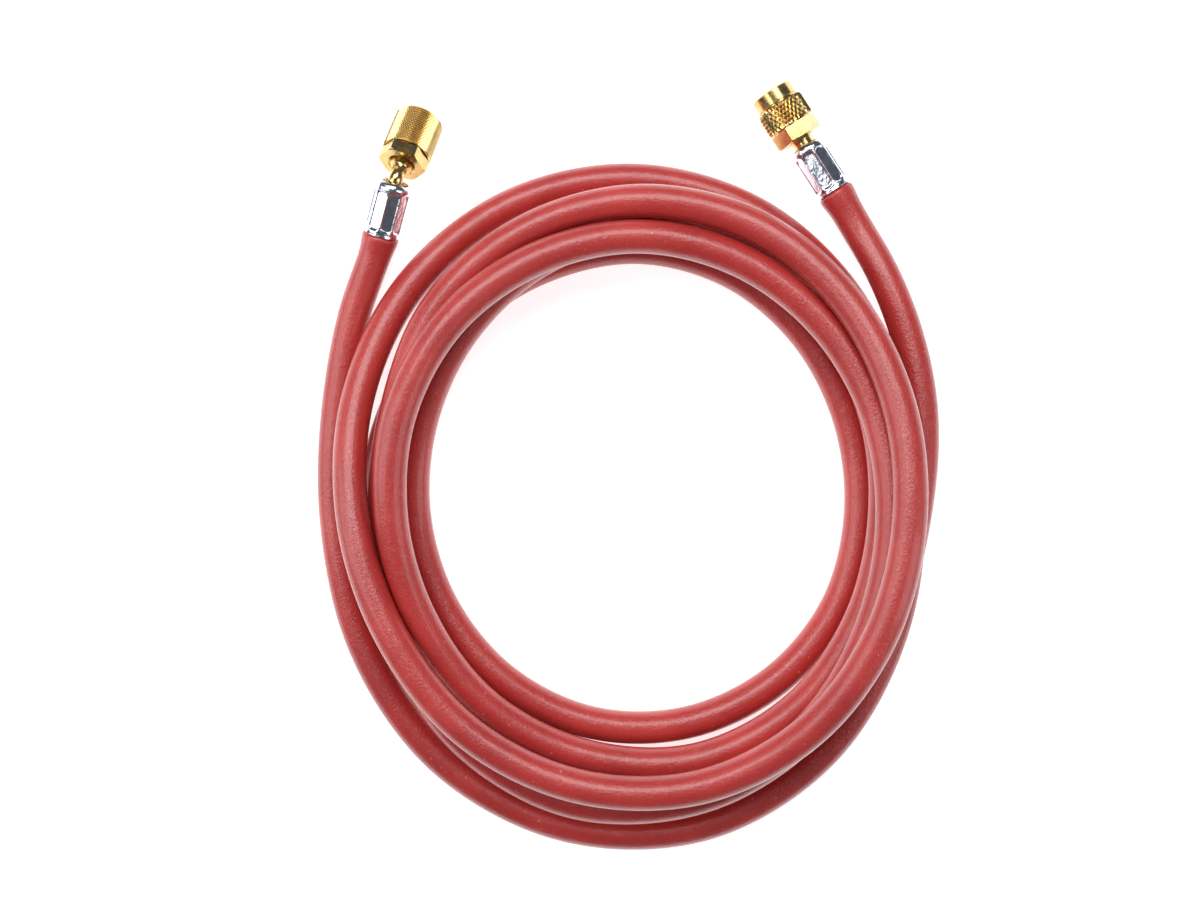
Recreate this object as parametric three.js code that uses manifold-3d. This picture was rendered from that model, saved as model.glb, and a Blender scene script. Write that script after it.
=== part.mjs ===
// A refrigerant charging hose: one rubber hose wound in a loose coil on the floor, with a crimped
// ferrule, a brass stem, a gasket and a knurled swivel nut at each end. Millimetres, +Z up.
// The left end has a 45 degree elbow in its stem, so its nut points down and rests on its rim.
import * as THREE from "three";
import { mergeVertices } from "three/addons/utils/BufferGeometryUtils.js";
import Module from "manifold-3d";

const wasm = await Module();
wasm.setup();

// Clearances
const GAP = 0.3;
const SWIVEL_GAP = 0.3;

// Hose
const HOSE_DIAMETER = 12.4;
const HOSE_SIDES = 12;
const CRIMPED_DIAMETER = 10.4;
const CRIMPED_LENGTH = 17;
const BARB_DIAMETER = 6.6;
const BARB_LENGTH = 15;
const BARB_RIDGE = 0.35;
const BARB_RIDGES = 4;

// Ferrules
const FERRULE_LENGTH = 20.5;
const FERRULE_WALL = 1.0;
const FLAT_COUNT = 8;
const FLAT_DEPTH = 0.45;
const FLAT_WIDTH = 3.9;
const FLAT_START = 1.9;
const FLAT_END_MARGIN = 3.4;
const LIP_FLARE = 0.35;
const LIP_LENGTH = 1.0;
const SHOULDER_LENGTH = 2.6;
const SHOULDER_WALL = 1.5;

// Parts of a nut and stem that both ends share
const HEX_ACROSS_FLATS = 16;
const HEX_CHAMFER = 0.6;
const WEB_LENGTH = 3;
const SWIVEL_HOLE_DIAMETER = 9;
const COUNTERSINK = 0.7;
const RELIEF_DIAMETER = 11.4;
const RELIEF_LENGTH = 4.6;
const THREAD_DIAMETER = 10;
const MOUTH_CHAMFER = 0.7;
const HEAD_DIAMETER = 9.4;
const HEAD_LENGTH = 4;
const SPIGOT_DIAMETER = 4.2;
const SPIGOT_LENGTH = 2.2;
const GASKET_DIAMETER = 9;
const GASKET_LENGTH = 2.4;
const STEM_BORE_DIAMETER = 3;
const JOURNAL_BEHIND_NUT = 0.8;
const WAIST_DIAMETER = 15;
const GROOVE_DEPTH = 0.8;
const KNURL_CHAMFER = 0.5;

// The left end, on an elbow. Its nut is knurled almost to the front.
const LEFT = {
  side: "left",
  neckDiameter: 5.6,
  neckLength: 6.45,
  hexLength: 4.7,
  hexTurn: 0,
  waistLength: 0.4,
  knurlDiameter: 18.5,
  knurlLength: 15.8,
  grooveWidth: 0,
  rimDiameter: 18.5,
  rimLength: 1.5,
  rimChamfer: 1.5,
  mouth: [-96.5, 96.4, 13.3],
  heading: 18,
  climb: 19,
  bend: 45,
  bendRoll: 0.8,
  bendRadius: 3.2,
};

// The right end, straight. Its nut has a shorter knurled band, a groove and a plain rim.
const RIGHT = {
  side: "right",
  neckDiameter: 7.8,
  neckLength: 1.9,
  hexLength: 5.5,
  hexTurn: 0,
  waistLength: 0.6,
  knurlDiameter: 18.8,
  knurlLength: 8.9,
  grooveWidth: 0.8,
  rimDiameter: 16.2,
  rimLength: 5,
  rimChamfer: 0.5,
  mouth: [74.2, 113.05, 9.4],
  heading: -33,
  climb: 0,
  bend: 0,
  bendRoll: 0,
  bendRadius: 5,
};

// The hose's route round the coil, anticlockwise from above. Each turn starts at 288 degrees, which is
// the angle clockwise from +Y, and has a station every COIL_STEP degrees: the distance of the hose's
// middle from the coil's centre, and its height over the floor.
const COIL_STEP = 24;
const COIL_START = 288;
const COIL_TURNS = [
  {
    radius: [119.2, 115.3, 119.7, 126.4, 130.3, 129.2, 121.4, 110.8, 103.6, 102, 107.9, 114.1, 117.8, 118.3, 115.3],
    height: [6.3, 6.2, 6.2, 6.2, 6.2, 6.2, 6.2, 6.2, 6.2, 6.2, 6.2, 6.2, 6.3, 7.1, 11.1],
  },
  {
    radius: [110.1, 105.4, 104.2, 106.9, 108.4, 107.7, 103.5, 98.1, 95.3, 97.1, 101.4, 105.6, 106.6, 104.5, 100.8],
    height: [18.4, 27.4, 32.9, 34.4, 36.2, 39.9, 45.1, 49.4, 48.6, 43.2, 36.2, 30.3, 26.7, 24.7, 22.9],
  },
  {
    radius: [94.7, 95.3, 103.6, 113, 117.8, 114.3, 105.7, 96.5, 91.5, 90.6, 91.1, 92.2, 93.1, 92.7, 92.5],
    height: [21.5, 19.2, 18.7, 18.1, 20.2, 25.5, 32.3, 37, 36.6, 32.3, 28.8, 28, 29.7, 31.7, 33.3],
  },
  {
    radius: [91.5, 90.9, 92.9, 97.4, 100.4, 102.1, 99.3, 94.1, 90.9, 92, 94.7, 97.3, 97.2, 93.1, 88.3],
    height: [33.7, 31.6, 26.6, 21.2, 18.8, 19.2, 21.5, 24.7, 24, 19.7, 16.7, 16.5, 17.7, 18.8, 18.2],
  },
  {
    radius: [85.5, 85, 86, 87.9, 89.8, 90.2, 89.1, 87.3, 84.8, 84.5, 86.7, 89.9, 92, 92, 93.3],
    height: [12.9, 8.8, 7.6, 8.1, 7.3, 6.3, 6.2, 6.2, 6.2, 6.2, 6.2, 6.2, 6.2, 6.2, 6.2],
  },
  {
    radius: [97.2, 100, 100.3, 100.4, 103, 106.5, 107.3, 104.2, 102.9, 110.4],
    height: [6.2, 6.2, 6.2, 6.2, 6.3, 7.2, 11.5, 17.1, 19, 17.2],
  },
];
// The stations between the coil and each fitting: angle, radius, height.
const LEFT_LEAD = [[301, 126, 7.5]];
const RIGHT_LEAD = [[60, 116, 15.2], [48, 123.1, 12.4], [40, 128.9, 9.3]];

// The elbow's tube is a little stouter than the straight neck on each side of it.
const ELBOW_EXTRA = 0.08;
const ELBOW_OVERLAP = 0.5;
const ELBOW_STEPS = 8;

// Finishes
const RUBBER = new THREE.MeshStandardMaterial({ color: 0xc0403c, roughness: 0.55, metalness: 0 });
const STEEL = new THREE.MeshStandardMaterial({ color: 0xc4c8d0, roughness: 0.22, metalness: 1 });
const BRASS = new THREE.MeshStandardMaterial({ color: 0xc79a4b, roughness: 0.28, metalness: 1 });
const SEAL = new THREE.MeshStandardMaterial({ color: 0x1d1d1f, roughness: 0.6, metalness: 0 });

// Sides of the turned shapes
const ROUND = 32;
const radians = THREE.MathUtils.degToRad;

// A closed mesh as a solid that can be joined and cut.
function solid(geometry) {
  const bare = geometry.index ? geometry.toNonIndexed() : geometry.clone();
  bare.deleteAttribute("normal");
  bare.deleteAttribute("uv");
  const merged = mergeVertices(bare, 1e-4);
  return new wasm.Manifold(new wasm.Mesh({
    numProp: 3,
    vertProperties: merged.attributes.position.array,
    triVerts: new Uint32Array(merged.index.array),
  }));
}

// A solid as a geometry with flat faces.
function geometryOf(made) {
  const mesh = made.getMesh();
  const geometry = new THREE.BufferGeometry();
  geometry.setAttribute("position", new THREE.BufferAttribute(mesh.vertProperties, 3));
  geometry.setIndex(new THREE.BufferAttribute(mesh.triVerts, 1));
  const flat = geometry.toNonIndexed();
  flat.computeVertexNormals();
  return flat;
}

// A solid turned about Y from a closed outline of [radius, along] points, which run anticlockwise
// with the radius to the right. Both ends lie on the axis.
function turned(outline, sides = ROUND) {
  return solid(new THREE.LatheGeometry(outline.map(([r, y]) => new THREE.Vector2(r, y)), sides));
}

// A plain cutter or rod about Y.
function rod(radius, start, end, sides = ROUND) {
  return turned([[0, start], [radius, start], [radius, end], [0, end]], sides);
}

// Where a fitting's parts lie along its axis, from the ferrule's mouth for the hose side.
const hoseRadius = HOSE_DIAMETER / 2;
const crimpedRadius = CRIMPED_DIAMETER / 2;
const ferruleBore = crimpedRadius + GAP;
const ferruleRadius = ferruleBore + FERRULE_WALL;
const hoseEnd = CRIMPED_LENGTH;
const barbStart = hoseEnd - BARB_LENGTH;
const bendAt = FERRULE_LENGTH + 1.2;

// Straight part of the stem: the barb in the hose, then the neck out through the ferrule's end.
function barb(end) {
  const radius = BARB_DIAMETER / 2;
  const pitch = (BARB_LENGTH - 2) / BARB_RIDGES;
  const outline = [[0, barbStart], [radius - BARB_RIDGE, barbStart]];
  for (let i = 0; i < BARB_RIDGES; i += 1) {
    const from = barbStart + i * pitch;
    outline.push([radius - BARB_RIDGE, from + 0.01], [radius, from + pitch - 0.3], [radius, from + pitch - 0.05]);
  }
  const last = barbStart + BARB_RIDGES * pitch;
  const neck = end.neckDiameter / 2;
  const shoulder = Math.max(neck, radius);
  const straightEnd = end.bend > 0 ? bendAt - bendTangent(end) : bendAt + end.neckLength;
  outline.push([radius - BARB_RIDGE, last], [radius - BARB_RIDGE, hoseEnd + GAP], [shoulder, hoseEnd + GAP]);
  outline.push([shoulder, FERRULE_LENGTH - SHOULDER_WALL - GAP], [neck, FERRULE_LENGTH - SHOULDER_WALL - GAP]);
  outline.push([neck, straightEnd], [0, straightEnd]);
  return turned(outline);
}

// The length of the elbow's arc that lies on each side of the bend point.
function bendTangent(end) {
  return end.bendRadius * Math.tan(radians(end.bend / 2));
}

// A path through given points, straight between them, with a section at each that stands across the
// given tangent. The section's first direction lies across both the tangent and the "up" direction.
class SweptPath extends THREE.Curve {
  constructor(points, tangents, up) {
    super();
    this.points = points;
    this.tangents = tangents;
    this.up = up;
  }

  getSpacedPoints() {
    return this.points;
  }

  computeFrenetFrames() {
    const frames = { tangents: [], normals: [], binormals: [] };
    for (const tangent of this.tangents) {
      const normal = tangent.clone().cross(this.up).normalize();
      frames.tangents.push(tangent);
      frames.normals.push(normal);
      frames.binormals.push(tangent.clone().cross(normal));
    }
    return frames;
  }
}

// A round section for sweeping, as a shape with the given number of sides.
function circle(radius, sides) {
  const shape = new THREE.Shape();
  for (let i = 0; i < sides; i += 1) {
    const angle = (2 * Math.PI * (i + 0.5)) / sides;
    const point = [radius * Math.cos(angle), radius * Math.sin(angle)];
    if (i === 0) shape.moveTo(...point);
    else shape.lineTo(...point);
  }
  return shape;
}

function swept(path, radius, sides) {
  const settings = {
    extrudePath: path, steps: path.points.length - 1, curveSegments: 1, bevelEnabled: false,
  };
  return solid(new THREE.ExtrudeGeometry(circle(radius, sides), settings));
}

// The elbow's round tube. It reaches a little way into the straight part on each side.
function elbow(end, radius) {
  const reach = ELBOW_OVERLAP;
  const points = [new THREE.Vector3(0, bendAt - bendTangent(end) - reach, 0)];
  const tangents = [new THREE.Vector3(0, 1, 0)];
  for (let i = 0; i <= ELBOW_STEPS; i += 1) {
    const angle = radians(end.bend) * (i / ELBOW_STEPS);
    const along = bendAt - bendTangent(end) + end.bendRadius * Math.sin(angle);
    points.push(new THREE.Vector3(0, along, -end.bendRadius * (1 - Math.cos(angle))));
    tangents.push(new THREE.Vector3(0, Math.cos(angle), -Math.sin(angle)));
  }
  const last = tangents[tangents.length - 1].clone();
  points.push(points[points.length - 1].clone().addScaledVector(last, reach));
  tangents.push(last);
  return swept(new SweptPath(points, tangents, new THREE.Vector3(1, 0, 0)), radius, ROUND);
}

// The stem's front part, along the nut's axis from its own bend point: neck, journal in the nut's hole,
// head that holds the nut, and the spigot that the gasket sits on.
function stemFront(end) {
  const neck = end.neckDiameter / 2;
  const journal = SWIVEL_HOLE_DIAMETER / 2 - SWIVEL_GAP;
  const nutBack = end.neckLength;
  const journalStart = nutBack - JOURNAL_BEHIND_NUT;
  const headStart = nutBack + WEB_LENGTH + SWIVEL_GAP;
  const headEnd = headStart + HEAD_LENGTH;
  const start = end.bend > 0 ? bendTangent(end) : 0;
  return turned([
    [0, start], [neck, start], [neck, journalStart - 0.4], [journal, journalStart], [journal, headStart],
    [HEAD_DIAMETER / 2, headStart], [HEAD_DIAMETER / 2, headEnd], [SPIGOT_DIAMETER / 2, headEnd],
    [SPIGOT_DIAMETER / 2, headEnd + SPIGOT_LENGTH], [0, headEnd + SPIGOT_LENGTH],
  ]);
}

function stemFrontBore(end) {
  const tip = end.neckLength + WEB_LENGTH + SWIVEL_GAP + HEAD_LENGTH + SPIGOT_LENGTH + 1;
  const start = end.bend > 0 ? bendTangent(end) : 0;
  return rod(STEM_BORE_DIAMETER / 2, start - 0.01, tip);
}

// Turns a solid about the bend point, from the ferrule's axis to the nut's.
function bent(made, end) {
  const turn = new THREE.Matrix4().makeRotationFromEuler(new THREE.Euler(-radians(end.bend), 0, 0));
  turn.setPosition(0, bendAt, 0);
  return made.transform(turn.elements);
}

function stemGeometry(end) {
  let body = barb(end);
  const bore = STEM_BORE_DIAMETER / 2;
  const straightEnd = end.bend > 0 ? bendAt - bendTangent(end) : bendAt + end.neckLength;
  let hollow = rod(bore, barbStart - 1, straightEnd + 0.01);
  if (end.bend > 0) {
    body = body.add(elbow(end, end.neckDiameter / 2 + ELBOW_EXTRA));
    hollow = hollow.add(elbow(end, bore - ELBOW_EXTRA));
  }
  body = body.add(bent(stemFront(end), end));
  hollow = hollow.add(bent(stemFrontBore(end), end));
  return geometryOf(body.subtract(hollow));
}

// The ferrule: a sleeve with a rounded shoulder over the stem, a thin flared lip over the hose,
// and eight pressed flats with a ridge between each two.
function ferruleGeometry(end) {
  const lip = ferruleRadius + LIP_FLARE;
  const corner = FERRULE_LENGTH - SHOULDER_LENGTH;
  const nose = ferruleRadius - SHOULDER_LENGTH * 0.62;
  const outline = [[0, 0], [lip, 0], [lip, 0.35], [ferruleRadius, LIP_LENGTH], [ferruleRadius, corner]];
  for (let i = 1; i <= 5; i += 1) {
    const angle = (Math.PI / 2) * (i / 5);
    const drop = (ferruleRadius - nose) * (1 - Math.cos(angle));
    outline.push([ferruleRadius - drop, corner + SHOULDER_LENGTH * Math.sin(angle)]);
  }
  outline.push([0, FERRULE_LENGTH]);
  let body = turned(outline, ROUND * 2);
  const flatRadius = ferruleRadius - FLAT_DEPTH;
  const flatLength = FERRULE_LENGTH - FLAT_START - FLAT_END_MARGIN;
  for (let i = 0; i < FLAT_COUNT; i += 1) {
    const block = new THREE.BoxGeometry(4, flatLength, FLAT_WIDTH);
    block.translate(flatRadius + 2, FLAT_START + flatLength / 2, 0);
    block.rotateY((2 * Math.PI * i) / FLAT_COUNT);
    body = body.subtract(solid(block));
  }
  const neck = Math.max(end.neckDiameter / 2, 0) + GAP;
  const chamber = FERRULE_LENGTH - SHOULDER_WALL;
  return geometryOf(body
    .subtract(rod(ferruleBore, -1, chamber))
    .subtract(rod(neck, chamber - 1, FERRULE_LENGTH + 1)));
}

function gasketGeometry(end) {
  const inner = SPIGOT_DIAMETER / 2 + GAP;
  const outer = GASKET_DIAMETER / 2;
  const seat = end.neckLength + WEB_LENGTH + SWIVEL_GAP + HEAD_LENGTH + GAP;
  const outline = [[inner, seat], [outer, seat], [outer, seat + GASKET_LENGTH], [inner, seat + GASKET_LENGTH], [inner, seat]];
  return new THREE.LatheGeometry(outline.map(([r, y]) => new THREE.Vector2(r, y)), ROUND);
}

// The nut, along its axis from its back face: hexagon, waist, knurled band, groove and rim outside,
// and the swivel hole, relief and threaded bore inside.
function nutGeometry(end) {
  const cornerRadius = HEX_ACROSS_FLATS / 2 / Math.cos(Math.PI / 6);
  const hexEnd = end.hexLength;
  // Two of the hexagon's corners lie on X.
  const hexagon = rod(cornerRadius, 0, hexEnd, 6).rotate([0, 30, 0]);
  const chamfered = turned([
    [0, 0], [cornerRadius - HEX_CHAMFER, 0], [cornerRadius, HEX_CHAMFER * 0.6], [cornerRadius + 0.1, hexEnd + 0.1],
    [0, hexEnd + 0.1],
  ]);
  const waist = WAIST_DIAMETER / 2;
  const knurl = end.knurlDiameter / 2;
  const rim = end.rimDiameter / 2;
  const knurlStart = hexEnd + end.waistLength;
  const knurlEnd = knurlStart + end.knurlLength;
  const rimStart = knurlEnd + end.grooveWidth;
  const front = rimStart + end.rimLength;
  const outline = [
    [0, hexEnd - 0.5], [waist, hexEnd - 0.5], [waist, knurlStart], [knurl - KNURL_CHAMFER, knurlStart],
    [knurl, knurlStart + KNURL_CHAMFER],
  ];
  if (end.grooveWidth > 0) {
    outline.push([knurl, knurlEnd - KNURL_CHAMFER], [knurl - KNURL_CHAMFER, knurlEnd]);
    outline.push([rim - GROOVE_DEPTH, knurlEnd], [rim - GROOVE_DEPTH, rimStart], [rim, rimStart]);
  }
  outline.push([rim, front - end.rimChamfer], [rim - end.rimChamfer, front], [0, front]);
  const barrel = turned(outline);
  const hole = SWIVEL_HOLE_DIAMETER / 2;
  const relief = RELIEF_DIAMETER / 2;
  const thread = THREAD_DIAMETER / 2;
  const reliefEnd = WEB_LENGTH + RELIEF_LENGTH;
  const mouth = thread + MOUTH_CHAMFER;
  const hollow = turned([
    [0, -1], [hole + COUNTERSINK, -1], [hole + COUNTERSINK, 0], [hole, COUNTERSINK], [hole, WEB_LENGTH],
    [relief, WEB_LENGTH], [relief, reliefEnd], [thread, reliefEnd + relief - thread],
    [thread, front - MOUTH_CHAMFER], [mouth, front], [mouth, front + 1], [0, front + 1],
  ]);
  return geometryOf(hexagon.intersect(chamfered).add(barrel).subtract(hollow));
}

// A point of the coil, from its angle clockwise from +Y, radius and height.
function station(angle, radius, height) {
  return new THREE.Vector3(radius * Math.sin(radians(angle)), radius * Math.cos(radians(angle)), height);
}

// The direction in which a fitting points away from the hose.
function pointing(end) {
  const flat = Math.cos(radians(end.climb));
  const heading = radians(end.heading);
  return new THREE.Vector3(flat * Math.sin(heading), flat * Math.cos(heading), Math.sin(radians(end.climb)));
}

// The whole route of the hose, from just outside one ferrule to just outside the other.
function routePoints() {
  const points = [new THREE.Vector3(...LEFT.mouth).addScaledVector(pointing(LEFT), -GAP)];
  points.push(...LEFT_LEAD.map((place) => station(...place)));
  let angle = COIL_START;
  for (const turn of COIL_TURNS) {
    turn.radius.forEach((radius, i) => {
      points.push(station(angle, radius, turn.height[i]));
      angle -= COIL_STEP;
    });
  }
  points.push(...RIGHT_LEAD.map((place) => station(...place)));
  points.push(new THREE.Vector3(...RIGHT.mouth).addScaledVector(pointing(RIGHT), -GAP));
  return points;
}

// The crimped end of the hose inside a ferrule, with the socket that the barb fills.
function crimpedEnd(end) {
  const rise = new THREE.Matrix4().makeRotationFromEuler(fittingTurn(end));
  rise.setPosition(...end.mouth);
  const plug = rod(crimpedRadius, -GAP - 0.5, hoseEnd);
  const socket = rod(BARB_DIAMETER / 2 + GAP, barbStart - GAP, hoseEnd + 1);
  return { plug: plug.transform(rise.elements), socket: socket.transform(rise.elements) };
}

// A fitting's own axis is Y: this turns Y to where the fitting points.
function fittingTurn(end) {
  return new THREE.Euler(radians(end.climb), 0, -radians(end.heading), "ZXY");
}

function hoseGeometry() {
  const points = routePoints();
  const last = points.length - 1;
  const tangents = points.map((point, i) => {
    if (i === 0) return pointing(LEFT).negate();
    if (i === last) return pointing(RIGHT);
    return points[i + 1].clone().sub(points[i - 1]).normalize();
  });
  let body = swept(new SweptPath(points, tangents, new THREE.Vector3(0, 0, 1)), hoseRadius, HOSE_SIDES);
  for (const end of [LEFT, RIGHT]) {
    const { plug, socket } = crimpedEnd(end);
    body = body.add(plug).subtract(socket);
  }
  return geometryOf(body);
}

function named(name, geometry, material) {
  const mesh = new THREE.Mesh(geometry, material);
  mesh.name = name;
  return mesh;
}

// One fitting: its frame starts at the ferrule's mouth, and the nut's frame at the bend point.
function fitting(end) {
  const group = new THREE.Group();
  group.position.set(...end.mouth);
  group.rotation.copy(fittingTurn(end));
  const onAxis = new THREE.Group();
  onAxis.rotation.set(0, radians(end.bendRoll), 0);
  const front = new THREE.Group();
  front.position.set(0, bendAt, 0);
  front.rotation.set(-radians(end.bend), 0, 0);
  const nut = named(`${end.side}_nut`, nutGeometry(end), BRASS);
  nut.position.set(0, end.neckLength, 0);
  nut.rotation.y = radians(end.hexTurn);
  front.add(nut, named(`${end.side}_gasket`, gasketGeometry(end), SEAL));
  onAxis.add(front, named(`${end.side}_stem`, stemGeometry(end), BRASS));
  group.add(onAxis, named(`${end.side}_ferrule`, ferruleGeometry(end), STEEL));
  return group;
}

const part = new THREE.Group();
part.name = "refrigerant_charging_hose";
part.add(named("hose", hoseGeometry(), RUBBER), fitting(LEFT), fitting(RIGHT));

// The origin is the middle of the whole part, on the floor.
const whole = new THREE.Box3().setFromObject(part, true);
const middle = whole.getCenter(new THREE.Vector3());
part.position.set(-middle.x, -middle.y, -whole.min.z);

export default part;
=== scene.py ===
# %% [markdown]
# # A refrigerant charging hose
# A red rubber hose lies in a loose coil of nearly six turns. Each end is crimped in a bright steel
# ferrule, and a brass stem comes out of that and carries a knurled swivel nut. The solids come from the
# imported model. This file gives them their looks, and adds what is too fine for them: the leathery grain,
# the pressed flats, the diamond knurl and the thread.

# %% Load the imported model
import bmesh
import bpy
import math
from mathutils import Matrix, Vector


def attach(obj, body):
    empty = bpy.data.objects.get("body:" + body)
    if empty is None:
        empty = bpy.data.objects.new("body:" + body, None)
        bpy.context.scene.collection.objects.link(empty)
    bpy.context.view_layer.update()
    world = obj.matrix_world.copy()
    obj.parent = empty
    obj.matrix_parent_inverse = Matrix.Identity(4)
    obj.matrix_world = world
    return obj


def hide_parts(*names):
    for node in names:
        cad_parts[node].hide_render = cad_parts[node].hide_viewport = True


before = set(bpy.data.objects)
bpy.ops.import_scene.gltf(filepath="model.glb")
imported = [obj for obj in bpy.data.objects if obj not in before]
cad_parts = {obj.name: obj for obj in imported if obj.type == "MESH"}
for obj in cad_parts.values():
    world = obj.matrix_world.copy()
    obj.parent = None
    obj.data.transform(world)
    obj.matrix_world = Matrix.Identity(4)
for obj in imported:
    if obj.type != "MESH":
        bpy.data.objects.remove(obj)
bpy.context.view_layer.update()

# %% [markdown]
# ## The camera
# The photograph looks straight down from about 600 mm over the floor. So the upper turns are drawn a
# little larger than the lower ones. Blender's camera looks along its own -Z, so it needs no turning.

# %% Camera
MM = 0.001
COIL_CENTRE = Vector((4.8209, -10.5741, 0))
CAMERA_HEIGHT = 600
CAMERA_OVER = Vector((-14.44, 15.2, 0))
FOCAL_PIXELS = 594 / 0.38
IMAGE_WIDTH = 1200

camera_data = bpy.data.cameras.new("camera")
camera_data.sensor_fit = "HORIZONTAL"
camera_data.sensor_width = 36
camera_data.lens = FOCAL_PIXELS / IMAGE_WIDTH * 36
camera_data.clip_start = 0.01
camera = bpy.data.objects.new("camera", camera_data)
camera.location = (COIL_CENTRE + CAMERA_OVER + Vector((0, 0, CAMERA_HEIGHT))) * MM
bpy.context.scene.collection.objects.link(camera)
bpy.context.scene.camera = camera
print("lens: %.1f mm" % camera_data.lens)

# %% [markdown]
# ## The hose's route
# A hose is a fixed length of something flexible, so its shape is a path. These are the same stations as
# in the solids: for each turn, the distance from the coil's centre and the height over the floor, every
# 24 degrees. A smooth curve goes through all of them. It starts straight out of one ferrule and ends
# straight into the other.

# %% Stations of the route
HOSE_DIAMETER = 12.4
COIL_STEP = 24
COIL_START = 288
COIL_TURNS = [
    ([119.2, 115.3, 119.7, 126.4, 130.3, 129.2, 121.4, 110.8, 103.6, 102, 107.9, 114.1, 117.8, 118.3, 115.3],
     [6.3, 6.2, 6.2, 6.2, 6.2, 6.2, 6.2, 6.2, 6.2, 6.2, 6.2, 6.2, 6.3, 7.1, 11.1]),
    ([110.1, 105.4, 104.2, 106.9, 108.4, 107.7, 103.5, 98.1, 95.3, 97.1, 101.4, 105.6, 106.6, 104.5, 100.8],
     [18.4, 27.4, 32.9, 34.4, 36.2, 39.9, 45.1, 49.4, 48.6, 43.2, 36.2, 30.3, 26.7, 24.7, 22.9]),
    ([94.7, 95.3, 103.6, 113, 117.8, 114.3, 105.7, 96.5, 91.5, 90.6, 91.1, 92.2, 93.1, 92.7, 92.5],
     [21.5, 19.2, 18.7, 18.1, 20.2, 25.5, 32.3, 37, 36.6, 32.3, 28.8, 28, 29.7, 31.7, 33.3]),
    ([91.5, 90.9, 92.9, 97.4, 100.4, 102.1, 99.3, 94.1, 90.9, 92, 94.7, 97.3, 97.2, 93.1, 88.3],
     [33.7, 31.6, 26.6, 21.2, 18.8, 19.2, 21.5, 24.7, 24, 19.7, 16.7, 16.5, 17.7, 18.8, 18.2]),
    ([85.5, 85, 86, 87.9, 89.8, 90.2, 89.1, 87.3, 84.8, 84.5, 86.7, 89.9, 92, 92, 93.3],
     [12.9, 8.8, 7.6, 8.1, 7.3, 6.3, 6.2, 6.2, 6.2, 6.2, 6.2, 6.2, 6.2, 6.2, 6.2]),
    ([97.2, 100, 100.3, 100.4, 103, 106.5, 107.3, 104.2, 102.9, 110.4],
     [6.2, 6.2, 6.2, 6.2, 6.3, 7.2, 11.5, 17.1, 19, 17.2]),
]
LEFT_LEAD = [(301, 126, 7.5)]
RIGHT_LEAD = [(60, 116, 15.2), (48, 123.1, 12.4), (40, 128.9, 9.3)]

# %% [markdown]
# ## Where each fitting stands
# A fitting's own Y runs from the ferrule's mouth out to the nut. The left one climbs by 19 degrees, and
# its elbow then turns the nut down by 45 degrees, so that the nut rests on its rim.

# %% The two ends
FERRULE_LENGTH = 20.5
CRIMPED_LENGTH = 17
BEND_AT = FERRULE_LENGTH + 1.2
LEFT = {
    "side": "left", "mouth": (-96.5, 96.4, 13.3), "heading": 18, "climb": 19,
    "bend": 45, "bend_roll": 0.8, "bend_radius": 3.2,
    "neck": 5.6, "neck_length": 6.45, "hex_turn": 0, "hex_length": 4.7, "waist_length": 0.4,
    "knurl": 18.5, "knurl_length": 15.8, "groove": 0, "rim": 18.5, "rim_length": 1.5, "rim_chamfer": 1.5,
    "knurl_starts": 58, "knurl_depth": 0.44, "knurl_angle": 30,
}
RIGHT = {
    "side": "right", "mouth": (74.2, 113.05, 9.4), "heading": -33, "climb": 0,
    "bend": 0, "bend_roll": 0, "bend_radius": 5,
    "neck": 7.8, "neck_length": 1.9, "hex_turn": 0, "hex_length": 5.5, "waist_length": 0.6,
    "knurl": 18.8, "knurl_length": 8.9, "groove": 0.8, "rim": 16.2, "rim_length": 5, "rim_chamfer": 0.5,
    "knurl_starts": 33, "knurl_depth": 0.6, "knurl_angle": 33,
}


def fitting_place(end):
    """The matrix from a fitting's own millimetres to the coil's."""
    place = Matrix.Translation(Vector(end["mouth"]))
    place = place @ Matrix.Rotation(math.radians(-end["heading"]), 4, "Z")
    return place @ Matrix.Rotation(math.radians(end["climb"]), 4, "X")


def pointing(end):
    return (fitting_place(end).to_3x3() @ Vector((0, 1, 0))).normalized()


def bend_place(end):
    """The matrix from the nut's axis, which starts at the bend point, to the coil's millimetres."""
    place = fitting_place(end) @ Matrix.Rotation(math.radians(end["bend_roll"]), 4, "Y")
    return place @ Matrix.Translation((0, BEND_AT, 0)) @ Matrix.Rotation(math.radians(-end["bend"]), 4, "X")


for end in (LEFT, RIGHT):
    axis = bend_place(end).to_3x3() @ Vector((0, 1, 0))
    print(end["side"], "nut's axis:", [round(c, 4) for c in axis])

# %% [markdown]
# ## A smooth curve through the stations
# Between two stations the curve is a cubic. It leaves each station in the direction that lies between
# its two neighbours, so there is no corner anywhere. The hose can't sink into the floor, so no point may
# be lower than half its thickness.

# %% Smooth route
def station(angle, radius, height):
    turn = math.radians(angle)
    return Vector((radius * math.sin(turn), radius * math.cos(turn), height))


def route_knots():
    """The points that the hose goes through, and the direction where it is fixed."""
    left, right = Vector(LEFT["mouth"]), Vector(RIGHT["mouth"])
    out_left, out_right = pointing(LEFT), pointing(RIGHT)
    knots = [(left + out_left * CRIMPED_LENGTH, -out_left), (left, -out_left)]
    knots += [(station(*place), None) for place in LEFT_LEAD]
    angle = COIL_START
    for radii, heights in COIL_TURNS:
        for radius, height in zip(radii, heights):
            knots.append((station(angle, radius, height), None))
            angle -= COIL_STEP
    knots += [(station(*place), None) for place in RIGHT_LEAD]
    knots += [(right, out_right), (right + out_right * CRIMPED_LENGTH, out_right)]
    return knots


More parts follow.
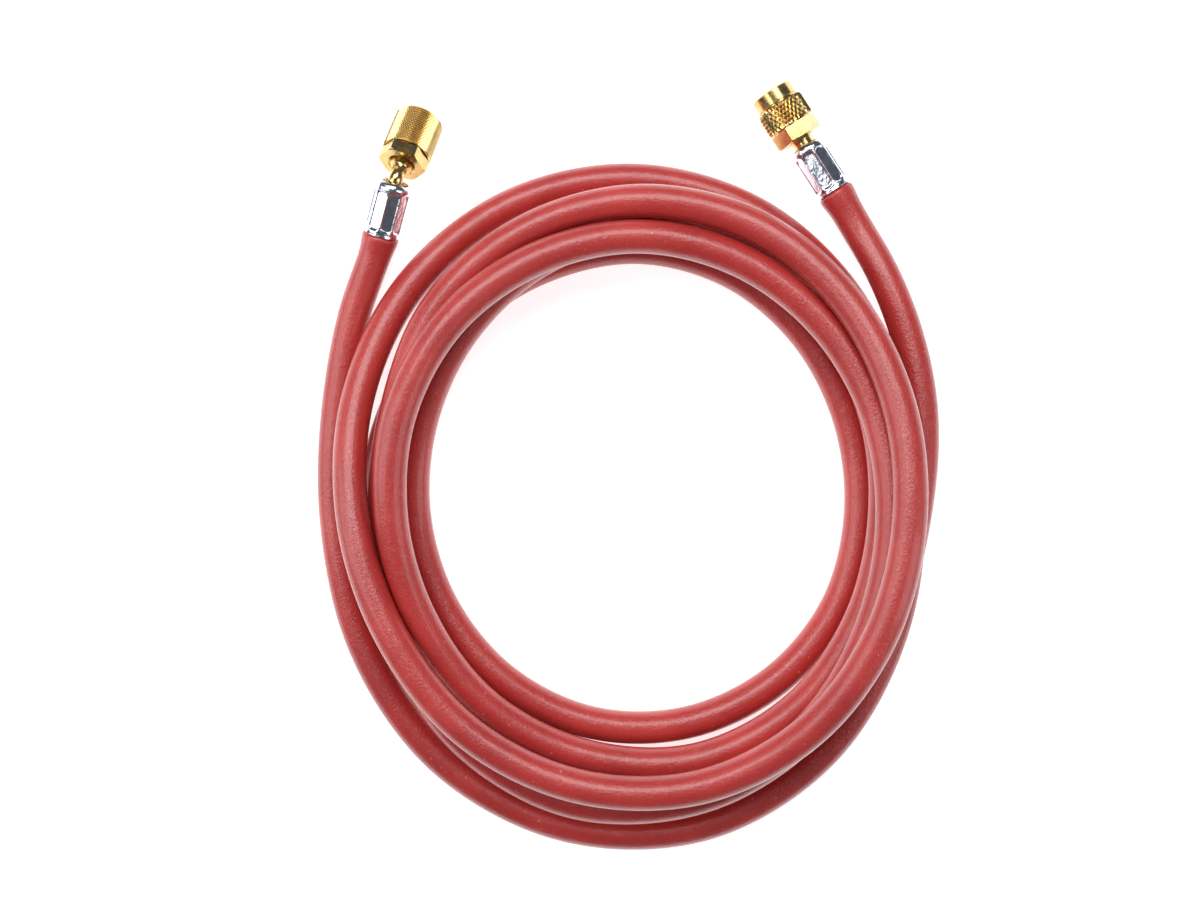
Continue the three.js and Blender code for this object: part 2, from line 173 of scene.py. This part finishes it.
def smooth_route(knots, spacing):
    points = [p for p, _ in knots]
    steps = [(b - a).length for a, b in zip(points, points[1:])]
    ways = []
    for i, (point, fixed) in enumerate(knots):
        if fixed is not None:
            ways.append(fixed)
            continue
        before = (point - points[i - 1]) / steps[i - 1]
        after = (points[i + 1] - point) / steps[i]
        ways.append((before * steps[i] + after * steps[i - 1]) / (steps[i] + steps[i - 1]))
    line = []
    for i, length in enumerate(steps):
        count = max(2, round(length / spacing))
        for k in range(count):
            t = k / count
            a, b = points[i], points[i + 1]
            h = (2 * t**3 - 3 * t**2 + 1, t**3 - 2 * t**2 + t, -2 * t**3 + 3 * t**2, t**3 - t**2)
            p = a * h[0] + ways[i] * (length * h[1]) + b * h[2] + ways[i + 1] * (length * h[3])
            p.z = max(p.z, HOSE_DIAMETER / 2)
            line.append(p)
    line.append(points[-1].copy())
    return line


ROUTE = smooth_route(route_knots(), 2.2)
ROUTE_LENGTH = sum((b - a).length for a, b in zip(ROUTE, ROUTE[1:]))
print("route: %d points, %.0f mm" % (len(ROUTE), ROUTE_LENGTH))

# %% [markdown]
# ## Making a mesh from rows of points
# Every piece here is a row of rings: points side by side around, and row after row along. One helper
# joins such rows with faces. Another turns a helper's millimetres into an object in the frame.

# %% Mesh helpers
def rows_to_faces(rows, base=0, closed=False, caps=False):
    """Quads between rows of the same length, each row a closed ring. closed joins last to first."""
    count = len(rows[0])
    faces = []
    last = len(rows) if closed else len(rows) - 1
    for j in range(last):
        k = (j + 1) % len(rows)
        for i in range(count):
            n = (i + 1) % count
            row, following = base + j * count, base + k * count
            faces.append((row + i, row + n, following + n, following + i))
    if caps:
        faces.append(tuple(base + i for i in reversed(range(count))))
        faces.append(tuple(base + (len(rows) - 1) * count + i for i in range(count)))
    return faces


def piece(name, verts, faces, place, material, sharp=35):
    """A mesh object, with its place in its mesh, given in millimetres by a matrix."""
    mesh = bpy.data.meshes.new(name)
    mesh.from_pydata([tuple((place @ Vector(v) + COIL_CENTRE) * MM) for v in verts], [], faces)
    outward(mesh)
    mesh.polygons.foreach_set("use_smooth", [True] * len(mesh.polygons))
    mesh.set_sharp_from_angle(angle=math.radians(sharp))
    mesh.materials.append(material)
    made = bpy.data.objects.new(name, mesh)
    bpy.context.scene.collection.objects.link(made)
    print(name, "has", sum(len(p.vertices) - 2 for p in mesh.polygons), "triangles")
    return made


def outward(mesh):
    """Turns the faces of each closed shell outward."""
    work = bmesh.new()
    work.from_mesh(mesh)
    bmesh.ops.recalc_face_normals(work, faces=work.faces[:])
    work.to_mesh(mesh)
    work.free()


# %% [markdown]
# ## Node materials
# A material here is a Principled shader with some textures behind it. All of them take their place from
# the object's own coordinates, in metres, so a noise scale of 1000 makes marks about 1 mm wide.

# %% Helpers for node materials
class Finish:
    """A new material, with short calls for the nodes that feed its shader."""

    def __init__(self, name, **sockets):
        self.material = bpy.data.materials.new(name)
        self.material.use_nodes = True
        self.tree = self.material.node_tree
        self.shader = self.tree.nodes["Principled BSDF"]
        self.place = self.tree.nodes.new("ShaderNodeTexCoord").outputs["Object"]
        for socket, value in sockets.items():
            self.shader.inputs[socket.replace("_", " ")].default_value = value

    def node(self, kind, inputs=None, **settings):
        made = self.tree.nodes.new("ShaderNode" + kind)
        for key, value in settings.items():
            setattr(made, key, value)
        for key, value in (inputs or {}).items():
            if isinstance(value, bpy.types.NodeSocket):
                self.tree.links.new(value, made.inputs[key])
            else:
                made.inputs[key].default_value = value
        return made

    def noise(self, scale, detail=3.0, rough=0.55, place=None, distortion=0.0):
        settings = {"Vector": place or self.place, "Scale": scale, "Detail": detail, "Roughness": rough,
                    "Distortion": distortion}
        return self.node("TexNoise", settings).outputs["Fac"]

    def ramp(self, factor, stops):
        made = self.node("ValToRGB", {"Fac": factor})
        points = made.color_ramp.elements
        while len(points) < len(stops):
            points.new(0.5)
        for point, (where, colour) in zip(points, stops):
            point.position = where
            point.color = (*colour, 1) if len(colour) == 3 else colour
        return made.outputs["Color"]

    def math(self, operation, a, b=0.0):
        return self.node("Math", {0: a, 1: b}, operation=operation).outputs[0]

    def remap(self, value, low, high, to_low, to_high):
        settings = {"Value": value, "From Min": low, "From Max": high, "To Min": to_low, "To Max": to_high}
        return self.node("MapRange", settings).outputs["Result"]

    def bump(self, height, strength, distance, under=None):
        settings = {"Height": height, "Strength": strength, "Distance": distance}
        if under is not None:
            settings["Normal"] = under
        return self.node("Bump", settings).outputs["Normal"]

    def feed(self, socket, value):
        self.tree.links.new(value, self.shader.inputs[socket])


# %% [markdown]
# ## The rubber's finish
# The hose was cured in a wrapping, which left a leathery grain of bumps under a millimetre wide. The
# grain breaks its highlights up into speckles. Its red is a little uneven, and a few nicks show pale. A
# thin coat adds the pale line along the strands' edges.

# %% Red rubber
rubber = Finish("red_rubber", Roughness=0.34, Specular_IOR_Level=0.7, Coat_Weight=0.8, Coat_IOR=1.25,
                Coat_Roughness=0.1)
patches = rubber.noise(38, detail=3)
reds = [(0.30, (0.43, 0.030, 0.027)), (0.5, (0.49, 0.037, 0.032)), (0.72, (0.55, 0.047, 0.040))]
red = rubber.ramp(patches, reds)
specks = rubber.noise(620, detail=2)
nick_mask = rubber.remap(specks, 0.73, 0.76, 0.0, 0.55)
worn = rubber.node("MixRGB", {"Fac": nick_mask, "Color1": red, "Color2": (0.80, 0.36, 0.32, 1)})
rubber.feed("Base Color", worn.outputs["Color"])
grain_warp = rubber.noise(900, detail=4, rough=0.65, distortion=1.6)
cells = rubber.node("TexVoronoi", {"Vector": rubber.place, "Scale": 1250.0}, feature="SMOOTH_F1")
grain_cells = cells.outputs["Distance"]
warp_share = rubber.math("MULTIPLY", grain_warp, 0.65)
cell_share = rubber.math("MULTIPLY", grain_cells, 0.5)
grain = rubber.math("ADD", warp_share, cell_share)
waves = rubber.noise(210, detail=2)
rubber.feed("Normal", rubber.bump(grain, 0.8, 0.00026, rubber.bump(waves, 0.3, 0.0006)))
rubber.feed("Roughness", rubber.remap(grain_warp, 0.3, 0.7, 0.25, 0.42))
print("rubber has", len(rubber.tree.nodes), "nodes")

# %% [markdown]
# ## The hose
# A tube is swept along the route: a ring of points stands across it at every step. The crimped ends are
# thinner, because the ferrule squeezes them, and the rubber bulges a little where it comes out.

# %% Hose
HOSE_SIDES = 28
CRIMPED_RADIUS = 5.2
BULGE = 0.8
BULGE_START = -0.4
BULGE_TOP = 1.2
BULGE_FADE = 5.0
MOUTH_RINGS_REACH = 6.4


def hose_radius(along):
    """The hose's radius, from the distance to the nearer ferrule's mouth. Inside it is negative."""
    if along < BULGE_START:
        return CRIMPED_RADIUS
    if along < BULGE_TOP:
        rise = (along - BULGE_START) / (BULGE_TOP - BULGE_START)
        top = HOSE_DIAMETER / 2 + BULGE
        return CRIMPED_RADIUS + (top - CRIMPED_RADIUS) * math.sin(rise * math.pi / 2)
    return HOSE_DIAMETER / 2 + BULGE * math.exp(-(((along - BULGE_TOP) / BULGE_FADE) ** 2))


def add_mouth_rings(line, length):
    """Puts more points near both ferrules, where the radius changes."""
    extra = [-17, -0.5, -0.3, 0, 0.3, 0.7, 1.2, 1.8, 2.6, 3.4, 4.6, 6]
    distances = [0]
    for a, b in zip(line, line[1:]):
        distances.append(distances[-1] + (b - a).length)
    wanted = {round(CRIMPED_LENGTH + e, 3) for e in extra}
    wanted |= {round(length - CRIMPED_LENGTH - e, 3) for e in extra}
    ends = CRIMPED_LENGTH + MOUTH_RINGS_REACH
    wanted |= {round(d, 3) for d in distances if ends < d < length - ends}
    rings, j = [], 0
    for d in sorted(wanted):
        while j < len(distances) - 2 and distances[j + 1] < d:
            j += 1
        t = min(1, max(0, (d - distances[j]) / (distances[j + 1] - distances[j])))
        rings.append((line[j].lerp(line[j + 1], t), d))
    return rings


rings = add_mouth_rings(ROUTE, ROUTE_LENGTH)
hose_rows = []
for i, (centre, d) in enumerate(rings):
    before, after = rings[max(i - 1, 0)][0], rings[min(i + 1, len(rings) - 1)][0]
    ahead = (after - before).normalized()
    side = ahead.cross(Vector((0, 0, 1))).normalized()
    over = side.cross(ahead).normalized()
    radius = hose_radius(min(d, ROUTE_LENGTH - d) - CRIMPED_LENGTH)
    ring = []
    for k in range(HOSE_SIDES):
        turn = 2 * math.pi * (k + 0.5) / HOSE_SIDES
        ring.append(centre + side * (radius * math.cos(turn)) + over * (radius * math.sin(turn)))
    hose_rows.append(ring)
hose = piece("rubber_hose", [p for ring in hose_rows for p in ring], rows_to_faces(hose_rows, caps=True),
             Matrix.Identity(4), rubber.material, sharp=60)

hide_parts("hose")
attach(hose, "hose")

# %% [markdown]
# ## The metals
# The ferrules are plated steel, pressed and not polished, so their mirror is slightly uneven. The brass is
# turned bright. A real turned face keeps fine rings from the tool, which show as a faint unevenness of
# its gloss.

# %% Plated steel
plating = Finish("bright_plating", Metallic=1.0, Roughness=0.14)
tint = plating.ramp(plating.noise(260, detail=4), [(0.3, (0.58, 0.62, 0.71)), (0.7, (0.84, 0.86, 0.90))])
plating.feed("Base Color", tint)
dents = plating.noise(420, detail=3)
plating.feed("Normal", plating.bump(dents, 0.32, 0.0006, plating.bump(plating.noise(2600), 0.14, 0.0001)))
plating.feed("Roughness", plating.remap(plating.noise(700), 0.3, 0.7, 0.08, 0.24))

# %% Brass
brass = Finish("bright_brass", Metallic=1.0, Roughness=0.2)
gold = brass.ramp(brass.noise(180, detail=3), [(0.3, (0.62, 0.43, 0.16)), (0.7, (0.78, 0.57, 0.25))])
brass.feed("Base Color", gold)
brass.feed("Normal", brass.bump(brass.noise(1500, detail=3), 0.12, 0.00012))
brass.feed("Roughness", brass.remap(brass.noise(600), 0.3, 0.7, 0.13, 0.26))

# %% Black gasket rubber
seal = Finish("black_seal", Roughness=0.5)
blacks = [(0.3, (0.010, 0.010, 0.011)), (0.7, (0.024, 0.024, 0.026))]
seal.feed("Base Color", seal.ramp(seal.noise(300), blacks))
seal.feed("Normal", seal.bump(seal.noise(1800), 0.2, 0.0001))
print("metals and gasket rubber are ready")

# %% [markdown]
# ## The ferrules
# A ferrule is a thin steel cup with a hole for the stem. A press closes eight jaws on it, which leave
# eight long flats with a ridge between each two. Round the ring, the wall is the nearer of the cup's
# circle and the jaw's plane. Each flat fades out in a rounded end before the shoulder and the lip.

# %% Ferrules
FERRULE_BORE = 5.3
FERRULE_RADIUS = 6.6
FLAT_COUNT = 8
FLAT_REACH = 0.72
FLAT_END_ROUNDING = 1.3
LIP_RADIUS = 6.9
SHOULDER = 2.6
SHOULDER_DROP = 2.0


def eased(value, low, high):
    t = min(1, max(0, (value - low) / (high - low)))
    return t * t * (3 - 2 * t)


def ferrule_radius(along, turn):
    """The pressed cup's radius at a place along it and round it."""
    across = (turn * FLAT_COUNT / (2 * math.pi)) % 1 - 0.5
    angle = across * 2 * math.pi / FLAT_COUNT
    flat = (FERRULE_RADIUS - FLAT_REACH) / math.cos(angle)
    rounding = FLAT_END_ROUNDING * (abs(across) / 0.45) ** 3
    front = FERRULE_LENGTH - 4.0 - rounding
    press = eased(along, 1.5 + rounding, 2.6 + rounding) * (1 - eased(along, front, front + 1.1))
    ridge = eased(abs(across), 0.40, 0.465)
    pressed = flat * (1 - ridge) + FERRULE_RADIUS * ridge
    return FERRULE_RADIUS + (min(pressed, FERRULE_RADIUS) - FERRULE_RADIUS) * press


def ferrule(end):
    sides = 144
    hole = end["neck"] / 2 + 0.3
    outline = [(0.0, LIP_RADIUS - 0.12, False), (0.12, LIP_RADIUS, False), (0.3, LIP_RADIUS - 0.02, False),
               (0.7, FERRULE_RADIUS + 0.1, False), (1.1, FERRULE_RADIUS, False)]
    outline += [(1.4 + 0.2 * k, None, True) for k in range(15)]
    outline += [(4.6 + (FERRULE_LENGTH - 6.0 - 4.6) * k / 6, None, True) for k in range(7)]
    outline += [(FERRULE_LENGTH - 5.8 + 0.2 * k, None, True) for k in range(16)]
    corner = FERRULE_LENGTH - SHOULDER
    for k in range(1, 10):
        turn = math.pi / 2 * k / 9
        shoulder_radius = FERRULE_RADIUS - SHOULDER_DROP * (1 - math.cos(turn))
        outline.append((corner + SHOULDER * math.sin(turn), shoulder_radius, False))
    outline += [(FERRULE_LENGTH, hole + 0.3, False), (FERRULE_LENGTH - 0.3, hole, False),
                (FERRULE_LENGTH - 1.5, hole, False), (FERRULE_LENGTH - 1.5, FERRULE_BORE, False),
                (0.2, FERRULE_BORE, False), (0.0, FERRULE_BORE + 0.4, False)]
    rows = []
    for along, radius, pressed in outline:
        row = []
        for k in range(sides):
            turn = 2 * math.pi * k / sides
            r = ferrule_radius(along, turn) if pressed else radius
            row.append((r * math.sin(turn), along, r * math.cos(turn)))
        rows.append(row)
    verts = [p for row in rows for p in row]
    made = piece(end["side"] + "_crimped_ferrule", verts, rows_to_faces(rows, closed=True),
                 fitting_place(end), plating.material, sharp=32)
    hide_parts(end["side"] + "_ferrule")
    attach(made, "hose")
    return made


ferrules = [ferrule(end) for end in (LEFT, RIGHT)]

# %% [markdown]
# ## The stems
# A stem is turned from brass, with a barb for the hose and a head that holds the nut, and the left one
# is then bent. So it is one outline of radius against distance, swept along an axis that may bend.

# %% Stems
WEB = 3
SWIVEL_HOLE = 9
RELIEF_DIAMETER = 11.4
RELIEF_LENGTH = 4.6
THREAD_MINOR = 10.0
THREAD_MAJOR = 11.1
THREAD_PITCH = 1.27
HEAD_DIAMETER = 9.4
HEAD_LENGTH = 4
SPIGOT_DIAMETER = 4.2
SPIGOT_LENGTH = 2.2
STEM_BORE = 3
BARB_RIDGES = 4
BARB_PITCH = 3.25
BARB_CORE = 2.9
BARB_TOP = 3.3
JOURNAL = SWIVEL_HOLE / 2 - 0.3


def stem_axis(end, along):
    """Centre and direction of the stem's axis, at a distance along it from the ferrule's mouth."""
    bend = math.radians(end["bend"])
    arc = end["bend_radius"] * bend
    tangent = end["bend_radius"] * math.tan(bend / 2)
    start = BEND_AT - tangent
    if along <= start or bend == 0:
        return Vector((0, along, 0)), Vector((0, 1, 0))
    turn = min(along - start, arc) / end["bend_radius"]
    radius = end["bend_radius"]
    centre = Vector((0, start + radius * math.sin(turn), -radius * (1 - math.cos(turn))))
    ahead = Vector((0, math.cos(turn), -math.sin(turn)))
    return centre + ahead * max(0, along - start - arc), ahead


def nut_back(end):
    """Distance along the stem's axis from the ferrule's mouth to the nut's back face."""
    bend = math.radians(end["bend"])
    saved = 2 * end["bend_radius"] * math.tan(bend / 2) - end["bend_radius"] * bend
    return BEND_AT + end["neck_length"] - saved


def stem(end):
    neck, bore = end["neck"] / 2, STEM_BORE / 2
    back = nut_back(end)
    head = back + WEB + 0.3
    spigot = SPIGOT_DIAMETER / 2
    outline = [(2, bore), (2, 2.6)]
    for k in range(BARB_RIDGES):
        ridge = BARB_PITCH * k
        outline += [(2.2 + ridge, BARB_CORE), (5.1 + ridge, BARB_TOP)]
        outline += [(5.35 + ridge, BARB_TOP), (5.4 + ridge, BARB_CORE)]
    collar = max(neck, BARB_TOP)
    outline += [(17.3, BARB_CORE), (17.3, collar), (18.7, collar), (18.7, neck)]
    bend_from = BEND_AT - 3
    outline += [(bend_from + 0.45 * k, neck) for k in range(14) if bend_from + 0.45 * k < back - 1.7]
    outline += [(back - 1.5, neck), (back - 1.1, neck + 0.25), (back - 0.8, JOURNAL), (head, JOURNAL)]
    outline += [(head, HEAD_DIAMETER / 2 - 0.2), (head + 0.2, HEAD_DIAMETER / 2)]
    outline += [(head + HEAD_LENGTH - 0.2, HEAD_DIAMETER / 2), (head + HEAD_LENGTH, HEAD_DIAMETER / 2 - 0.2)]
    tip = head + HEAD_LENGTH + SPIGOT_LENGTH
    outline += [(head + HEAD_LENGTH, spigot), (tip - 0.25, spigot), (tip, spigot - 0.2), (tip, bore + 0.15)]
    outline += [(tip - 0.2, bore)]
    outline += [(tip - 1.5 - 0.5 * k, bore) for k in range(200) if tip - 1.5 - 0.5 * k > 2.5]
    rows, sides = [], 48
    for along, radius in outline:
        centre, ahead = stem_axis(end, along)
        across = Vector((1, 0, 0))
        over = across.cross(ahead)
        row = []
        for k in range(sides):
            turn = 2 * math.pi * k / sides
            row.append(centre + across * (radius * math.cos(turn)) + over * (radius * math.sin(turn)))
        rows.append(row)
    place = fitting_place(end) @ Matrix.Rotation(math.radians(end["bend_roll"]), 4, "Y")
    made = piece(end["side"] + "_brass_stem", [p for row in rows for p in row],
                 rows_to_faces(rows, closed=True), place, brass.material, sharp=40)
    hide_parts(end["side"] + "_stem")
    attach(made, "hose")
    return made


stems = [stem(end) for end in (LEFT, RIGHT)]

# %% [markdown]
# ## The gaskets
# A small rubber ring sits on the stem's spigot, and seals against the fitting that is screwed in.

# %% Gaskets
GASKET_OUTER = 4.5
GASKET_INNER = 2.4
GASKET_LENGTH = 2.4


def turned_rows(outline, sides):
    rows = []
    for radius, along in outline:
        turns = [2 * math.pi * k / sides for k in range(sides)]
        rows.append([(radius * math.sin(t), along, radius * math.cos(t)) for t in turns])
    return rows


def gasket(end):
    seat = end["neck_length"] + WEB + 0.3 + HEAD_LENGTH + 0.3
    outline, soft = [], 0.35
    corners = ((GASKET_OUTER, seat, 0), (GASKET_OUTER, seat + GASKET_LENGTH, 90),
               (GASKET_INNER, seat + GASKET_LENGTH, 180), (GASKET_INNER, seat, 270))
    for radius, along, first in corners:
        centre_radius = radius - soft if radius == GASKET_OUTER else radius + soft
        centre_along = along + soft if along == seat else along - soft
        for k in range(5):
            turn = math.radians(first - 90 + 22.5 * k)
            outline.append((centre_radius + soft * math.cos(turn), centre_along + soft * math.sin(turn)))
    rows = turned_rows(outline, 48)
    made = piece(end["side"] + "_seal_ring", [p for row in rows for p in row],
                 rows_to_faces(rows, closed=True), bend_place(end), seal.material)
    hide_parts(end["side"] + "_gasket")
    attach(made, "hose")
    return made


gaskets = [gasket(end) for end in (LEFT, RIGHT)]

# %% [markdown]
# ## The nuts
# A nut is turned from hexagon bar. Its back stays a hexagon, with its corners turned off. Its barrel is
# knurled: two rollers press grooves that lean left and right, and small pyramids stand between them. The
# bore has a real thread, 20 turns to the inch. Each nut is three closed shells that sit in each other:
# the hexagon, the barrel and the lining of the bore.

# %% Hexagon
HEX_FLATS = 16


def hex_rows(end, sides=120):
    """Rings of the hexagon: its flats, cut back by a cone at its outer corners."""
    corner = HEX_FLATS / 2 / math.cos(math.pi / 6)
    hole = SWIVEL_HOLE / 2 + 0.9
    length = end["hex_length"]
    limits = [(0, hole), (0, corner - 0.75), (0.14, corner - 0.45), (0.28, corner - 0.2), (0.46, corner)]
    limits += [(length - 0.1, corner), (length, corner - 0.1), (length, 6.2), (length - 0.6, 5.9), (0.6, 5.9)]
    rows = []
    for along, limit in limits:
        row = []
        for k in range(sides):
            turn = 2 * math.pi * k / sides
            off = (turn + math.pi / 6) % (math.pi / 3) - math.pi / 6
            flat = HEX_FLATS / 2 / math.cos(abs(math.pi / 6 - abs(off)))
            radius = min(limit, flat)
            row.append((radius * math.cos(turn), along, -radius * math.sin(turn)))
        rows.append(row)
    return rows


# %% [markdown]
# The knurl's grid has four steps to each pitch, both round and along. A pyramid's height falls from its
# middle to the nearer groove, so the grooves run along the grid's diagonals. Each cell is split along
# the groove that crosses it, which keeps every groove straight and sharp.

# %% Knurled barrel
def barrel(end, base):
    """Rings and faces of the nut's barrel, with its knurl."""
    starts = end["knurl_starts"]
    sides = 4 * starts
    outer = end["knurl"] / 2
    pitch_round = 2 * math.pi * outer / starts
    pitch_along = pitch_round / math.tan(math.radians(end["knurl_angle"]))
    begin = end["hex_length"] + end["waist_length"]
    stop = begin + end["knurl_length"]
    steps = 4 * round((stop - begin) / pitch_along)
    front = stop + end["groove"] + end["rim_length"]
    rim = end["rim"] / 2
    depth = end["knurl_depth"]
    rows = []

    def ring(radius, along):
        rows.extend(turned_rows([(radius, along)], sides))

    ring(6.9, end["hex_length"] - 0.5)
    ring(7.5, end["hex_length"] - 0.5)
    ring(7.5, begin)
    ring(outer - 1.0, begin)
    first = len(rows)
    for j in range(steps + 1):
        along = begin + (stop - begin) * j / steps
        edge = min(along - begin, stop - along if end["groove"] > 0 else 9) + 0.15
        cut = max(0, 0.65 - edge)
        row = []
        for k in range(sides):
            a, b = ((k + j) / 4) % 1, ((k - j) / 4) % 1
            height = min(0.88, 1 - max(abs(2 * a - 1), abs(2 * b - 1)))
            radius = min(outer - depth + depth * height / 0.88, outer - cut)
            turn = 2 * math.pi * k / sides
            row.append((radius * math.sin(turn), along, radius * math.cos(turn)))
        rows.append(row)
    last = len(rows) - 1
    if end["groove"] > 0:
        ring(outer - 1.0, stop)
        ring(rim - 0.8, stop + 0.02)
        ring(rim - 0.8, stop + end["groove"] - 0.02)
        ring(rim - 0.12, stop + end["groove"])
        ring(rim, stop + end["groove"] + 0.12)
        ring(rim, front - end["rim_chamfer"])
        ring(rim - end["rim_chamfer"], front)
    else:
        ring(rim - depth * 0.7, stop + 0.02)
        ring(rim - depth * 0.7 - 0.2, stop + 0.25)
        ring(rim - end["rim_chamfer"] + 0.15, front - 0.12)
        ring(rim - end["rim_chamfer"], front)
    ring(THREAD_MAJOR / 2 + 0.35, front)
    ring(6.9, front - 0.9)
    faces = []
    for j in range(len(rows)):
        n = (j + 1) % len(rows)
        for k in range(sides):
            m = (k + 1) % sides
            here, there = base + j * sides, base + n * sides
            a, b, c, d = here + k, here + m, there + m, there + k
            if first <= j < last and (k - (j - first)) % 4 == 0:
                faces += [(a, b, c), (a, c, d)]
            elif first <= j < last:
                faces += [(a, b, d), (b, c, d)]
            else:
                faces.append((a, b, c, d))
    return rows, faces, front


# %% [markdown]
# A 7/16 inch thread has 20 turns to the inch. A point of the bore's wall lies deeper or shallower by how
# far it is from the helix, which rises by one pitch in each turn. Towards both ends the thread runs out.

# %% Threaded bore
def bore_rows(front, sides=72):
    minor, major = THREAD_MINOR / 2, THREAD_MAJOR / 2
    relief = RELIEF_DIAMETER / 2
    relief_end = WEB + RELIEF_LENGTH
    hole = SWIVEL_HOLE / 2
    rows = []

    def ring(radius_at, along):
        turns = [2 * math.pi * k / sides for k in range(sides)]
        rows.append([(radius_at(t) * math.sin(t), along, radius_at(t) * math.cos(t)) for t in turns])

    ring(lambda t: 6.4, 0.5)
    ring(lambda t: hole + 0.9, 0)
    ring(lambda t: hole, 0.9)
    ring(lambda t: hole, WEB)
    ring(lambda t: relief, WEB)
    ring(lambda t: relief, relief_end)
    start = relief_end + relief - major
    finish = front - 0.45
    steps = math.ceil((finish - start) / THREAD_PITCH * 8)
    for j in range(steps + 1):
        along = start + (finish - start) * j / steps
        fade = eased(along, start, start + 0.9) * 0.9 + 0.1
        open_mouth = eased(along, finish - 0.9, finish)

        def wall(t):
            phase = (along / THREAD_PITCH - t / (2 * math.pi)) % 1
            tooth = max(0, 1 - abs(2 * phase - 1) * 1.14) / 0.88
            thread = major - (major - minor) * min(1, tooth) * fade
            return thread + (major - thread) * open_mouth

        ring(wall, along)
    ring(lambda t: major + 0.35, front)
    ring(lambda t: 6.4, front - 0.6)
    return rows


# %% Put each nut together
def nut(end):
    hexagon = hex_rows(end)
    verts = [p for row in hexagon for p in row]
    faces = rows_to_faces(hexagon, closed=True)
    outside, outside_faces, front = barrel(end, len(verts))
    faces += outside_faces
    verts += [p for row in outside for p in row]
    bore = bore_rows(front)
    faces += rows_to_faces(bore, base=len(verts), closed=True)
    verts += [p for row in bore for p in row]
    place = bend_place(end) @ Matrix.Translation((0, end["neck_length"], 0))
    place = place @ Matrix.Rotation(math.radians(end["hex_turn"]), 4, "Y")
    made = piece(end["side"] + "_swivel_nut", verts, faces, place, brass.material, sharp=22)
    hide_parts(end["side"] + "_nut")
    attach(made, end["side"] + "_nut")
    return made


nuts = [nut(end) for end in (LEFT, RIGHT)]

# %% [markdown]
# ## The floor and the light
# The hose lies on a white light table, so the floor glows a little: it fills the shadows, and shows as a
# thin white line along the strands' edges. Large soft lamps overhead make the broad highlights.

# %% Floor
floor_finish = Finish("pale_table", Roughness=0.6)
whites = [(0.3, (0.86, 0.86, 0.865)), (0.7, (0.90, 0.90, 0.90))]
shade = floor_finish.ramp(floor_finish.noise(6, detail=2), whites)
floor_finish.feed("Base Color", shade)
floor_finish.shader.inputs["Emission Color"].default_value = (1, 1, 1, 1)
floor_finish.shader.inputs["Emission Strength"].default_value = 0.75
floor_mesh = bpy.data.meshes.new("table")
half = 3.0
table_corners = [(-half, -half, 0), (half, -half, 0), (half, half, 0), (-half, half, 0)]
floor_mesh.from_pydata(table_corners, [], [(0, 1, 2, 3)])
floor_mesh.materials.append(floor_finish.material)
table = bpy.data.objects.new("table", floor_mesh)
table.location.z = -0.0002
bpy.context.scene.collection.objects.link(table)

# %% Lamps
def softbox(name, place, aim, size, watts, colour=(1, 1, 1)):
    data = bpy.data.lights.new(name, "AREA")
    data.shape = "RECTANGLE"
    data.size, data.size_y = size
    data.energy = watts
    data.color = colour
    lamp = bpy.data.objects.new(name, data)
    lamp.location = place
    lamp.rotation_euler = (Vector(aim) - Vector(place)).to_track_quat("-Z", "Y").to_euler()
    bpy.context.scene.collection.objects.link(lamp)


softbox("overhead_softbox", (-0.10, 0.55, 1.05), (0, 0.02, 0), (1.1, 0.5), 10.5)
softbox("left_softbox", (-0.85, 0.05, 0.70), (0, 0, 0), (0.5, 1.0), 4.4)
softbox("right_softbox", (0.95, -0.25, 0.75), (0, 0, 0), (0.4, 0.9), 3.1)
world = bpy.data.worlds.new("studio")
world.use_nodes = True
world.node_tree.nodes["Background"].inputs["Color"].default_value = (0.80, 0.86, 1.0, 1)
world.node_tree.nodes["Background"].inputs["Strength"].default_value = 0.12
bpy.context.scene.world = world
bpy.context.scene.view_settings.view_transform = "Standard"
print("lights:", len(bpy.data.lights))
